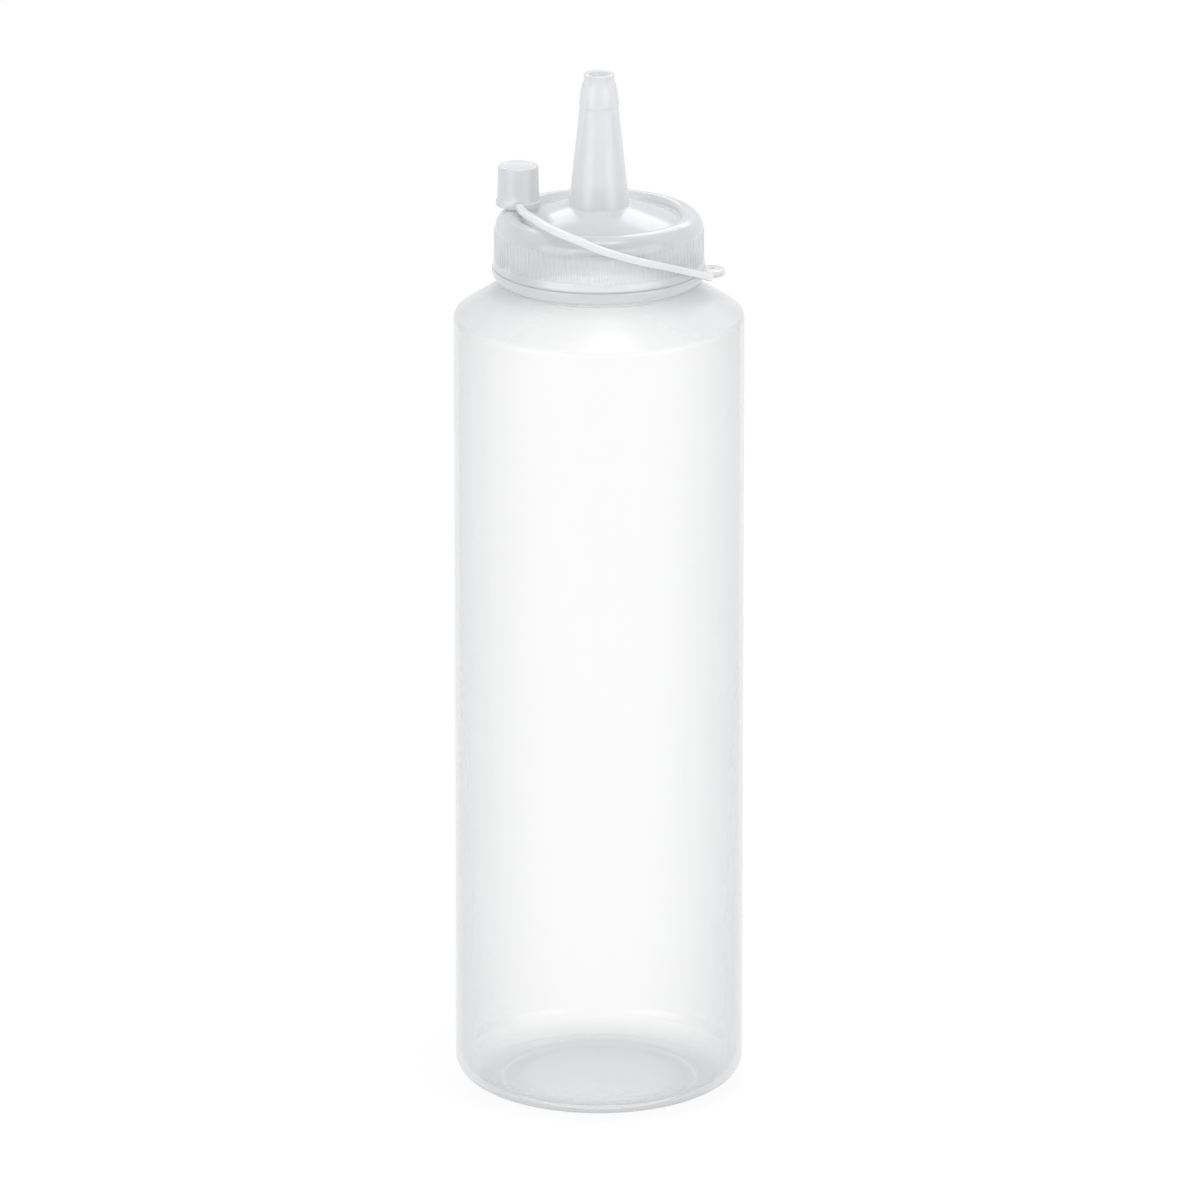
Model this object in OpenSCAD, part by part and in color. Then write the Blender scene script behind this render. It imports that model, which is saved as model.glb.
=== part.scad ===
// Squeeze bottle for sauces: a round translucent body, a screw cap with a long
// tapered nozzle, and a tether ring whose strap carries a small push-on tip cap.
// Millimetres, +Z up, origin at the centre of the standing ring.

/* [Body] */
// Outer diameter of the straight body
body_d = 57; // [52:0.5:75]
// Height of the straight wall's top above the table
body_h = 157.4; // [110:0.2:220]
// Thickness of the body and shoulder wall
body_wall = 1; // [0.8:0.05:1.6]
// Thickness of the floor
floor_t = 1.4; // [1:0.1:2.4]
// How far the bottom corner reaches in from the wall
heel_w = 9; // [5:0.5:12]
// Height of the bottom corner
heel_h = 5.4; // [3:0.2:9]
// Rise of the floor's middle above the standing ring
push_up = 2.2; // [0.6:0.2:4]
// Width of the flat standing ring
stand_w = 1.2; // [0.8:0.2:3]
// Radius of the corner between wall and shoulder
shoulder_r = 1.6; // [1:0.1:4]
// Slope of the shoulder from the level, in degrees
shoulder_slope = 33.3; // [24:0.5:40]

/* [Neck] */
// Outer diameter of the neck under its thread
neck_d = 34.6; // [31:0.2:36]
// Thickness of the neck wall
neck_wall = 1.1; // [0.9:0.1:1.6]
// Distance from one turn of the thread to the next
thread_pitch = 4.23; // [3.6:0.01:4.8]
// Height of the thread above the neck
thread_depth = 1.2; // [0.8:0.05:1.4]
// Turns of thread on the neck, and on the cap
thread_turns = 1.1; // [0.8:0.1:1.2]
// Distance from the neck's top down to its thread
thread_drop = 0.45; // [0.2:0.05:1]

/* [Screw cap] */
// Height from the skirt's lower edge to the crest of the rim
cap_h = 10.6; // [10:0.1:13]
// Thickness of the skirt wall
skirt_wall = 1.65; // [1.4:0.05:2]
// Thickness of the collar that carries the tether ring
collar_wall = 0.8; // [0.7:0.05:1]
// Height of the collar's bead under the tether ring
collar_bead_h = 0.6; // [0.4:0.1:1]
// Height of the rim's crest above the cap's underside
rim_rise = 3.73; // [3.5:0.01:5]
// Radius of the rounding from the skirt up to the rim
rim_r = 3.2; // [2:0.1:4]
// Radius of the rounding from the rim down into the dish
rim_in_r = 1.3; // [0.8:0.1:2]
// Depth of the dish below the rim, at its foot
dish_depth = 1.5; // [1:0.1:2]
// Rise of the domed middle, from the dish's foot to the nozzle
dome_rise = 3.15; // [2:0.05:4]
// Thickness of the domed top
top_t = 1.3; // [1:0.1:1.6]
// Vertical ribs round the skirt
rib_count = 120; // [60:4:140]
// Height of the ribs
rib_h = 0.13; // [0.08:0.01:0.25]
// Height of the plain band under the ribs
band_h = 1.6; // [1:0.1:2.5]
// How far the band flares out at the lower edge
band_flare = 0.45; // [0.2:0.05:0.6]
// Depth that the sealing ring reaches into the neck
seal_h = 1.7; // [1:0.1:3]
// Thickness of the sealing ring
seal_t = 0.6; // [0.5:0.05:1]

/* [Nozzle] */
// Height of the nozzle's tip above the foot of the nozzle
nozzle_h = 26.4; // [20:0.2:40]
// Diameter of the nozzle at its foot
nozzle_foot_d = 11.8; // [10:0.1:14]
// Diameter of the cone just under the snap bead
nozzle_neck_d = 7.64; // [7:0.02:9]
// How far the snap bead stands out past the cone
bead_out = 0.08; // [0.04:0.01:0.3]
// How far the flare's upper edge stands out past the lip
flare_out = 0.33; // [0.1:0.01:0.45]
// Thickness of the lip round the outlet
lip_wall = 1; // [0.7:0.05:1.2]
// Height of the flare from the bead to the lip
flare_h = 4; // [3:0.1:5]
// Height of the lip
lip_h = 2.1; // [1.4:0.1:3]
// Diameter of the outlet
outlet_d = 4; // [2:0.1:4.4]
// Length of the outlet's straight bore
outlet_l = 3; // [2:0.1:6]
// Thickness of the nozzle wall at its foot
nozzle_wall = 1; // [0.8:0.05:1.4]

/* [Tether] */
// Thickness of the tether ring where it bulges most
ring_wall = 1.33; // [1.2:0.01:2]
// Height of the tether ring
ring_h = 2.4; // [2:0.1:3]
// How far the ear stands out from the tether ring
ear_l = 3.62; // [3:0.01:6]
// Width of the ear
ear_w = 5.5; // [4.5:0.1:7]
// Thickness of the ear
ear_t = 1.2; // [1:0.1:1.6]
// Diameter of the small hole in the ear
ear_hole_d = 1.3; // [0.8:0.1:1.6]
// Width of the strap
strap_w = 1.5; // [1.2:0.1:1.8]
// Thickness of the strap
strap_t = 1.4; // [1:0.1:1.6]

/* [Tip cap] */
// Height of the tip cap
tip_h = 8; // [7:0.1:11]
// Thickness of the tip cap's wall
tip_wall = 0.85; // [0.7:0.01:1.2]
// Thickness of the tip cap's wall round the wider mouth
tip_foot_wall = 0.48; // [0.4:0.01:0.8]
// How far the flange round the mouth stands out
tip_flange_w = 0.29; // [0.2:0.01:0.8]
// Height of the flange
tip_flange_h = 1; // [0.8:0.1:1.6]
// Thickness of the tip cap's roof
tip_roof = 1; // [0.8:0.1:1.4]
// How far the parked tip cap's middle lies inside the rim's crest
tip_park_in = 0.77; // [0.2:0.01:1.5]
// Angle round the cap from the ear to the parked tip cap, in degrees
tip_park_turn = 164.1; // [158:0.1:176]

/* [Clearances] */
// Gap between thread crests and the walls that they face
thread_gap = 0.25; // [0.15:0.05:0.4]
// Gap between the cap's underside and the top of the neck
seat_gap = 0.15; // [0.1:0.05:0.4]
// Gap between the collar and the shoulder under it
shoulder_gap = 0.86; // [0.4:0.02:2]
// Gap between the sealing ring and the neck's bore
seal_gap = 0.1; // [0.05:0.01:0.2]
// Running gap round the tether ring
ring_gap = 0.1; // [0.06:0.01:0.2]
// Gap under the parked tip cap
park_gap = 0.3; // [0.2:0.05:0.6]
// Gap between the lip and the tip cap's bore
tip_fit = 0.12; // [0.05:0.01:0.3]
// Gap between the flare and the tip cap's mouth
mouth_fit = 0.32; // [0.2:0.01:0.5]
// Gap between the strap and the skirt where they are nearest
strap_gap = 0.4; // [0.3:0.05:1]
// Gap between the strap's ends and what they are moulded to
joint_gap = 0.1; // [0.08:0.01:0.2]

/* [Hidden] */
$fn = 96;

milky = [0.93, 0.94, 0.94, 0.75];
milky_cap = [0.85, 0.86, 0.87];
milky_tether = [0.95, 0.95, 0.95];

body_r = body_d / 2;
neck_r = neck_d / 2;
neck_bore_r = neck_r - neck_wall;
shoulder_z = body_h + shoulder_r * cos(shoulder_slope);
shoulder_x = body_r - shoulder_r + shoulder_r * sin(shoulder_slope);
stand_r = body_r - heel_w;

bore_r = neck_r + thread_depth + thread_gap;
skirt_r = bore_r + skirt_wall;
collar_r = bore_r + collar_wall;
rim_x = skirt_r - rim_r;
dish_x = rim_x - rim_in_r;
collar_z = shoulder_height(collar_r) + shoulder_gap;
skirt_z = collar_z + collar_bead_h + ring_h + 2 * ring_gap;
crest_z = skirt_z + cap_h;
cap_under = crest_z - rim_rise;
neck_top = cap_under - seat_gap;
dish_z = crest_z - dish_depth;
nozzle_z = dish_z + dome_rise;
tip_z = nozzle_z + nozzle_h;
lip_z = tip_z - lip_h;
bead_z = lip_z - flare_h;

nozzle_foot_r = nozzle_foot_d / 2;
nozzle_neck_r = nozzle_neck_d / 2;
outlet_r = outlet_d / 2;
bead_r = nozzle_neck_r + bead_out;
lip_r = outlet_r + lip_wall;
flare_r = lip_r + flare_out;
foot_fillet = 0.4;
foot_inside = 0.3;
bead_edge = 0.5;
flare_waist = 0.55;
flare_bulge = 0.1;
lip_step = 0.6;
lip_round = 0.25;

thread_root_w = 2;
thread_crest_w = 1;
thread_bury = 0.4;
thread_steps = 48;
thread_run_out = 6;
cap_thread_start = 40;
cap_thread_less = 0.05;
neck_thread_z = neck_top - thread_drop - thread_root_w / 2 - thread_pitch * thread_turns;
cap_thread_z = neck_thread_z - thread_pitch / 2;

groove_h = 1.6;
groove_in = 0.2;
under_x = dish_x - 0.9;
seal_r = neck_bore_r - seal_gap;
seal_lead = 0.25;
seal_lead_h = 0.6;
join = 0.4;
cut = 1;

rib_root_z = skirt_z + band_h + rib_h;
rib_top_z = crest_z - rim_r;
rib_sink = 0.03;
// Where one rib's root and crest begin and end, as shares of its step round the skirt
rib_line = [[0.14, -rib_sink], [0.32, rib_h], [0.68, rib_h], [0.86, -rib_sink]];

collar_bead = 0.3;
collar_bead_edge = 0.1;
ring_in_r = collar_r + ring_gap;
ring_r = ring_in_r + ring_wall;
ring_z = collar_z + collar_bead_h + ring_gap;
ring_top = ring_z + ring_h;
ear_z = ring_z + 0.45;
ear_mid_z = ear_z + ear_t / 2;
ear_end_x = ring_r + ear_l - ear_w / 2;
ear_root = 0.6;
ear_hole_x = ring_r + 0.35 + ear_hole_d / 2;
ear_hole_y = 0.6;

park_z = crest_z + park_gap;
park_x = (rim_x - tip_park_in) * cos(tip_park_turn);
park_y = (rim_x - tip_park_in) * sin(tip_park_turn);
tip_bore_r = lip_r + tip_fit;
tip_mouth_r = flare_r + mouth_fit;
tip_top_r = tip_bore_r + tip_wall;
tip_foot_r = tip_mouth_r + tip_foot_wall;
tip_flange_r = tip_foot_r + tip_flange_w;
tip_edge = 0.1;
tip_round = 0.5;
tip_dimple = 0.2;
tip_dimple_in = 0.4;
tip_lead_h = 2.4;

strap_mid_z = park_z + strap_t / 2;
strap_split = 8;
strap_steps = 2;
strap_ease = 0.3;
strap_look = 0.05;
// Where the strap's middle passes, from the ear to the tip cap: the angle round the cap,
// how far it lies outside the nearest that it may pass, and its share of the climb
strap_bends = [
    [-12.6, 0.53, 0.012], [-21.2, 0.55, 0.108], [-32.4, 0.48, 0.231], [-44.4, 0.44, 0.362],
    [-56.6, 0.61, 0.492], [-69.1, 0.83, 0.615], [-79.7, 0.91, 0.723], [-89.5, 0.75, 0.823],
    [-99.5, 0.15, 0.931], [-110.2, -1.3, 0.988], [-122.2, -3.35, 1.008], [-137.5, -5.41, 1.012],
    [-155.5, -6.38, 1.008], [-168.6, -6.35, 1]
];
strap_near_r = skirt_r + strap_w / 2 + strap_gap;
strap_root_x = ring_r + 0.62;
strap_tip_x = park_x + 0.3;
strap_route = concat(
    [[strap_root_x, -ear_w / 2 - joint_gap, ear_mid_z]],
    [for (b = strap_bends) [(strap_near_r + b[1]) * cos(b[0]), (strap_near_r + b[1]) * sin(b[0]),
        ear_mid_z + (strap_mid_z - ear_mid_z) * b[2]]],
    [[strap_tip_x, park_y - tip_flange_r - joint_gap, strap_mid_z]]
);
strap_end = len(strap_route) - 1;

// Height of the shoulder's outer face at a radius
function shoulder_height(r) = shoulder_z + (shoulder_x - r) * tan(shoulder_slope);

// Points of an arc about a centre, from one angle to another
function arc(cx, cz, rx, rz, from, to, steps) =
    [for (i = [0:steps]) let (a = from + (to - from) * i / steps) [cx + rx * cos(a), cz + rz * sin(a)]];

// Body, shoulder and neck as one half section, grown inwards by a wall
function bottle_outline(wall, bottom, neck_wall) = concat(
    [[0, bottom + push_up]],
    [[stand_r - stand_w, bottom], [stand_r, bottom]],
    arc(stand_r, bottom + heel_h, heel_w - wall, heel_h, -90, 0, 14),
    arc(body_r - shoulder_r, body_h, shoulder_r - wall, shoulder_r - wall, 0, 90 - shoulder_slope, 5),
    [[neck_r - neck_wall, shoulder_height(neck_r - neck_wall) - wall / cos(shoulder_slope)]],
    [[neck_r - neck_wall, neck_top + (wall > 0 ? cut : 0)], [0, neck_top + (wall > 0 ? cut : 0)]]
);

// A skin over rings of points, closed with a flat end at each side
module skin(rings) {
    n = len(rings[0]);
    last = len(rings) - 1;
    points = [for (ring = rings) for (p = ring) p];
    sides = [for (j = [0:last - 1]) for (i = [0:n - 1])
        [j * n + i, j * n + (i + 1) % n, (j + 1) * n + (i + 1) % n, (j + 1) * n + i]];
    start = [[for (i = [n - 1:-1:0]) i]];
    end = [[for (i = [0:n - 1]) last * n + i]];
    polyhedron(points = points, faces = concat(sides, start, end));
}

// One helical ridge from a buried root to a crest, with run-out at both ends
module thread_ridge(root_r, crest_r, root_w, crest_w, z, start, turns) {
    steps = ceil(turns * thread_steps);
    rings = [for (i = [0:steps])
        let (a = start + turns * 360 * i / steps,
             rise = z + thread_pitch * a / 360,
             grow = min(1, (i + 1) / thread_run_out, (steps - i + 1) / thread_run_out),
             crest = root_r + (crest_r - root_r) * grow)
        [for (p = [[root_r, -root_w / 2], [crest, -crest_w / 2], [crest, crest_w / 2], [root_r, root_w / 2]])
            [p[0] * cos(a), p[0] * sin(a), rise + p[1]]]];
    skin(crest_r > root_r ? rings : [for (ring = rings) [ring[0], ring[3], ring[2], ring[1]]]);
}

module bottle() {
    color(milky) {
        difference() {
            rotate_extrude() polygon(bottle_outline(0, 0, 0));
            rotate_extrude() polygon(bottle_outline(body_wall, floor_t, neck_wall));
        }
        thread_ridge(neck_r - thread_bury, neck_r + thread_depth, thread_root_w, thread_crest_w,
            neck_thread_z, 0, thread_turns);
    }
}

// The dome between the dish's foot and the nozzle, lowered by a thickness
function dome_line(drop, x_out, x_in) =
    [for (i = [0:6]) let (x = x_out + (x_in - x_out) * i / 6, s = (dish_x - x) / (dish_x - nozzle_foot_r))
        [x, dish_z - drop + dome_rise * (1.25 * s - 0.25 * s * s)]];

// Outside of the cap and nozzle, from the skirt's lower edge to the outlet
cap_outside = concat(
    [[0, skirt_z], [skirt_r + band_flare, skirt_z]],
    [[skirt_r + rib_h, skirt_z + band_h], [skirt_r, rib_root_z]],
    arc(rim_x, crest_z - rim_r, rim_r, rim_r, 0, 90, 10),
    arc(rim_x, crest_z - rim_in_r, rim_in_r, rim_in_r, 105, 180, 5),
    dome_line(0, dish_x, nozzle_foot_r + foot_fillet),
    [[nozzle_foot_r, nozzle_z + foot_fillet], [nozzle_neck_r, bead_z - bead_edge]],
    [[bead_r, bead_z - bead_edge / 2], [bead_r, bead_z]],
    [[(bead_r + flare_r) / 2 + flare_bulge, bead_z + flare_h * flare_waist], [flare_r, lip_z]],
    [[lip_r, lip_z + lip_step], [lip_r, tip_z - lip_round]],
    [[lip_r - lip_round, tip_z], [0, tip_z]]
);

// Hollow inside of the cap and nozzle
cap_inside = concat(
    [[0, skirt_z - cut], [bore_r, skirt_z - cut], [bore_r, cap_under + groove_h]],
    [[neck_r + groove_in, cap_under + groove_h], [neck_r + groove_in, cap_under], [under_x, cap_under]],
    dome_line(top_t, under_x, nozzle_foot_r - nozzle_wall + foot_inside),
    [[outlet_r, tip_z - outlet_l], [outlet_r, tip_z + cut], [0, tip_z + cut]]
);

// Ring that seals against the bore of the neck
seal_outline = [
    [seal_r - seal_t, cap_under + join], [seal_r - seal_t, cap_under - seal_h],
    [seal_r - seal_lead, cap_under - seal_h], [seal_r, cap_under - seal_h + seal_lead_h],
    [seal_r, cap_under + join]
];

// Collar under the skirt that the tether ring runs on, with its lower bead
collar_outline = [
    [bore_r, skirt_z + join], [bore_r, collar_z], [collar_r, collar_z],
    [collar_r + collar_bead, collar_z + collar_bead / 2],
    [collar_r + collar_bead, collar_z + collar_bead_h - collar_bead_edge],
    [collar_r, collar_z + collar_bead_h], [collar_r, skirt_z + join]
];

module ribs() {
    step = 360 / rib_count;
    difference() {
        translate([0, 0, rib_root_z]) linear_extrude(rib_top_z - rib_root_z)
            polygon([for (i = [0:rib_count - 1]) for (p = rib_line)
                (skirt_r + p[1]) * [cos((i + p[0]) * step), sin((i + p[0]) * step)]]);
        translate([0, 0, rib_root_z - cut])
            cylinder(r = skirt_r - join, h = rib_top_z - rib_root_z + 2 * cut);
    }
}

module screw_cap() {
    color(milky_cap) {
        difference() {
            union() {
                rotate_extrude() polygon(cap_outside);
                ribs();
            }
            rotate_extrude() polygon(cap_inside);
        }
        rotate_extrude() polygon(seal_outline);
        rotate_extrude() polygon(collar_outline);
        thread_ridge(bore_r + thread_bury, bore_r - thread_depth + cap_thread_less, thread_root_w,
            thread_crest_w, cap_thread_z, cap_thread_start, thread_turns);
    }
}

// Half section of the tether ring, bulging out towards its upper edge
ring_outline = [
    [ring_in_r, ring_z], [ring_r - 0.95, ring_z], [ring_r - 0.4, ring_z + ring_h * 0.22],
    [ring_r - 0.05, ring_z + ring_h * 0.46], [ring_r, ring_z + ring_h * 0.7],
    [ring_r - 0.08, ring_top], [ring_in_r, ring_top]
];

module tether_ring() {
    color(milky_tether) difference() {
        union() {
            rotate_extrude() polygon(ring_outline);
            difference() {
                translate([0, 0, ear_z]) linear_extrude(ear_t) union() {
                    translate([0, -ear_w / 2]) square([ear_end_x, ear_w]);
                    translate([ear_end_x, 0]) circle(r = ear_w / 2);
                }
                translate([0, 0, ear_z - cut]) cylinder(r = ring_r - ear_root, h = ear_t + 2 * cut);
            }
        }
        translate([ear_hole_x, ear_hole_y, ear_z - cut]) cylinder(d = ear_hole_d, h = ear_t + 2 * cut);
    }
}

// Point on a smooth curve through four neighbours
function between(a, b, c, d, t) = 0.5 * (2 * b + (c - a) * t + (2 * a - 5 * b + 4 * c - d) * t * t
    + (3 * b - a - 3 * c + d) * t * t * t);
function route_point(s) = let (i = min(floor(s), strap_end - 1))
    between(strap_route[max(i - 1, 0)], strap_route[i], strap_route[i + 1],
        strap_route[min(i + 2, strap_end)], s - i);
function unit(v) = v / norm(v);

// Cross section of the strap, with its corners eased
strap_section = let (w = strap_w / 2, t = strap_t / 2, c = strap_ease)
    [[w, -t + c], [w, t - c], [w - c, t], [-w + c, t], [-w, t - c], [-w, -t + c], [-w + c, -t], [w - c, -t]];

module strap(from, to) {
    steps = (to - from) * strap_steps;
    skin([for (i = [0:steps])
        let (s = from + (to - from) * i / steps, here = route_point(s),
             along = unit(route_point(min(s + strap_look, strap_end)) - route_point(max(s - strap_look, 0))),
             side = unit(cross(along, [0, 0, 1])), up = cross(side, along))
        [for (p = strap_section) here + side * p[0] + up * p[1]]]);
}

module strap_lower() {
    color(milky_tether) strap(0, strap_split);
}

module strap_upper() {
    color(milky_tether) strap(strap_split, strap_end);
}

// Half section of the tip cap, standing on its mouth
tip_outline = [
    [tip_mouth_r, 0], [tip_flange_r - tip_edge, 0], [tip_flange_r, tip_edge],
    [tip_flange_r, tip_flange_h - tip_edge], [tip_flange_r - tip_edge, tip_flange_h],
    [tip_foot_r, tip_flange_h + tip_edge], [tip_top_r, tip_h - tip_round],
    [tip_top_r - tip_round * 0.3, tip_h - tip_round * 0.3], [tip_top_r - tip_round, tip_h],
    [tip_top_r - tip_round - tip_dimple_in, tip_h],
    [tip_top_r - tip_round - tip_dimple_in - tip_dimple, tip_h - tip_dimple],
    [0, tip_h - tip_dimple], [0, tip_h - tip_roof], [tip_bore_r, tip_h - tip_roof],
    [tip_bore_r, tip_lead_h], [tip_mouth_r, tip_flange_h]
];

module tip_cap() {
    color(milky_tether) translate([park_x, park_y, park_z]) rotate_extrude() polygon(tip_outline);
}

bottle();
screw_cap();
tether_ring();
strap_lower();
strap_upper();
tip_cap();
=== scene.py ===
import math

import bmesh
import bpy
import numpy as np
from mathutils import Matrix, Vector


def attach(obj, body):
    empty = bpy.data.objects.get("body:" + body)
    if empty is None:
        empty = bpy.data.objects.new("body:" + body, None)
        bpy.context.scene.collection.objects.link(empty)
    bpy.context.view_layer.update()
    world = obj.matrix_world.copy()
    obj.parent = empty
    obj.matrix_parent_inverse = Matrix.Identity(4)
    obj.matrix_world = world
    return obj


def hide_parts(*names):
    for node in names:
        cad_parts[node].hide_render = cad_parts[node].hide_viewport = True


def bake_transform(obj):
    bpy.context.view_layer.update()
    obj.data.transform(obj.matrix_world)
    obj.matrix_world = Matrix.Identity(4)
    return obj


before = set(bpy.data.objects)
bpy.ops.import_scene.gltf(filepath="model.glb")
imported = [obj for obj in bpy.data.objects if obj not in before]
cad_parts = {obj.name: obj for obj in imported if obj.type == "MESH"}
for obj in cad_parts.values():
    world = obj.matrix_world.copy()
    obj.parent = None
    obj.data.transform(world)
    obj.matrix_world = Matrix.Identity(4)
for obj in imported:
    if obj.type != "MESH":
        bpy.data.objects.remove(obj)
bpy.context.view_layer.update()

bl_info = {
    "name": "Squeeze bottle with tethered tip cap",
    "version": (1, 0, 0),
    "blender": (4, 5, 0),
    "location": "3D View > Sidebar > Bottle",
    "description": "Builds a translucent squeeze bottle, its screw cap with nozzle, and its tethered tip cap",
    "category": "Object",
}

MM = 0.001
WHITE = 0.991  # the level at which floor and surroundings show as the photograph's background
GLASSY = (0.035, 0.965, 5)  # gloss seen head on, what a slant adds, and how late it comes
IOR = 1.45
PLASTIC_GRAIN = 2600
PLASTIC_WAVES = 60
CLOUDS = 90
THREAD_GAP = 0.25 * MM
SHOULDER_GAP = 0.86 * MM
COLLAR_H = 0.8 * MM
TIP_LIP_H = 2.1 * MM
FLARE_H = 4 * MM
RIM_PARK_GAP = 0.3 * MM


# Settings that a user would change

def length(label, value, text):
    return bpy.props.FloatProperty(name=label, description=text, default=value * MM, unit="LENGTH", precision=5)


def share(label, value, text):
    return bpy.props.FloatProperty(name=label, description=text, default=value, min=0, soft_max=1, subtype="FACTOR")


def count(label, value, text):
    return bpy.props.IntProperty(name=label, description=text, default=value, min=1)


def turn(label, value, text):
    return bpy.props.FloatProperty(
        name=label, description=text, default=math.radians(value), subtype="ANGLE", unit="ROTATION")


def tint(label, value, text):
    return bpy.props.FloatVectorProperty(
        name=label, description=text, default=value, size=3, min=0, max=1, subtype="COLOR")


class BottleSizes(bpy.types.PropertyGroup):
    body_r: length("Body radius", 28.5, "Outer radius of the straight wall")
    body_h: length("Wall height", 157.4, "Height of the straight wall's top")
    wall: length("Wall", 1, "Thickness of the blown wall")
    floor_t: length("Floor", 1.4, "Thickness of the floor")
    heel_w: length("Heel width", 9, "How far the bottom corner reaches in")
    heel_h: length("Heel height", 5.4, "Height of the bottom corner")
    push_up: length("Push-up", 2.2, "Rise of the floor's middle")
    stand_w: length("Standing ring", 1.2, "Width of the ring that the bottle stands on")
    shoulder_r: length("Shoulder corner", 1.6, "Radius between wall and shoulder")
    shoulder_slope: turn("Shoulder slope", 33.3, "Slope of the shoulder from the level")
    neck_r: length("Neck radius", 17.3, "Outer radius of the neck under its thread")
    neck_wall: length("Neck wall", 1.1, "Thickness of the neck")
    pitch: length("Thread pitch", 4.23, "Rise of the thread in one turn")
    thread_depth: length("Thread depth", 1.2, "Height of the thread above the neck")
    thread_turns: bpy.props.FloatProperty(
        name="Thread turns", description="Turns of thread on the neck, and on the cap", default=1.1, min=0.5)
    columns: count("Columns", 192, "Steps round the bottle")


class CapSizes(bpy.types.PropertyGroup):
    skirt_wall: length("Skirt wall", 1.65, "Thickness of the skirt")
    cap_h: length("Cap height", 10.6, "Height from the skirt's edge to the rim's crest")
    rim_rise: length("Rim rise", 3.73, "Height of the crest above the cap's underside")
    rim_r: length("Rim rounding", 3.2, "Rounding from the skirt up to the rim")
    rim_in_r: length("Inner rounding", 1.3, "Rounding from the rim down into the dish")
    dish_depth: length("Dish depth", 1.5, "Depth of the dish below the rim")
    dome_rise: length("Dome rise", 3.15, "Rise of the middle up to the nozzle's foot")
    top_t: length("Top", 1.3, "Thickness of the domed top")
    rib_count: count("Ribs", 120, "Vertical ribs round the skirt")
    rib_h: length("Rib height", 0.13, "Height of the ribs")
    band_h: length("Band", 1.6, "Height of the plain band under the ribs")
    band_flare: length("Band flare", 0.45, "How far the band flares out")
    collar_wall: length("Collar wall", 0.8, "Thickness of the collar that carries the tether ring")
    nozzle_h: length("Nozzle", 26.4, "Height of the nozzle above its foot")
    nozzle_foot_r: length("Nozzle foot", 5.9, "Radius of the nozzle's foot")
    nozzle_neck_r: length("Nozzle neck", 3.82, "Radius of the cone under the snap bead")
    outlet_r: length("Outlet", 2, "Radius of the outlet")
    outlet_l: length("Outlet length", 3, "Length of the outlet's straight bore")


class TetherSizes(bpy.types.PropertyGroup):
    ring_wall: length("Ring wall", 1.33, "Thickness of the ring where it bulges most")
    ring_h: length("Ring height", 2.4, "Height of the ring")
    ear_l: length("Ear", 3.62, "How far the ear stands out from the ring")
    ear_w: length("Ear width", 5.5, "Width of the ear")
    ear_t: length("Ear thickness", 1.2, "Thickness of the ear")
    ear_hole_r: length("Ear hole", 0.65, "Radius of the small hole in the ear")
    strap_w: length("Strap width", 1.5, "Width of the strap")
    strap_t: length("Strap thickness", 1.4, "Thickness of the strap")
    tip_h: length("Tip cap", 8, "Height of the tip cap")
    tip_wall: length("Tip wall", 0.85, "Wall of the tip cap")
    tip_roof: length("Tip roof", 1, "Roof of the tip cap")
    park_in: length("Parking place", 0.77, "How far the parked tip cap's middle lies inside the crest")
    park_turn: turn("Parking turn", 164.1, "Angle round the cap from the ear to the parked tip cap")


class PlasticColours(bpy.types.PropertyGroup):
    bottle: tint("Bottle", (0.7, 0.708, 0.722), "Milky colour of the blown bottle")
    cap: tint("Screw cap", (0.76, 0.768, 0.78), "Milky colour of the moulded cap")
    tip: tint("Tip cap and ring", (0.74, 0.746, 0.756), "Milky colour of the tip cap, ring and ear")
    # The strap is the same milky plastic as the tip cap and ring. Its lighter colour is painted highlight for the
    # light that falls on the thin strap.
    tether: tint("Tether", (0.87, 0.873, 0.878), "Milky colour of the strap")


class StudioSettings(bpy.types.PropertyGroup):
    world: share("Surroundings", 0.6, "Even light from all round")
    mirrored: share("Mirrored surroundings", 0.8, "How bright the surroundings look in a gloss")
    key: bpy.props.FloatProperty(name="Key", description="Power of the large soft lamp", default=7, unit="POWER")
    fill: bpy.props.FloatProperty(name="Fill", description="Power of the second soft lamp", default=6.2, unit="POWER")
    top: bpy.props.FloatProperty(name="Top", description="Power of the overhead lamp", default=2, unit="POWER")
    back: bpy.props.FloatProperty(name="Back", description="Power of the lamp behind", default=5, unit="POWER")
    elevation: turn("Camera height", 17.447, "Camera's angle above the level")
    distance: bpy.props.FloatProperty(
        name="Camera distance", description="From the aim point", default=2.607, unit="LENGTH")
    aim_z: length("Aim height", 99.45, "Height of the point that the camera looks at")
    focal_px: bpy.props.FloatProperty(
        name="Focal length", description="In pixels of a picture 1200 pixels wide", default=13232)


# Heights and radii that several pieces share, from the settings

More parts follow.
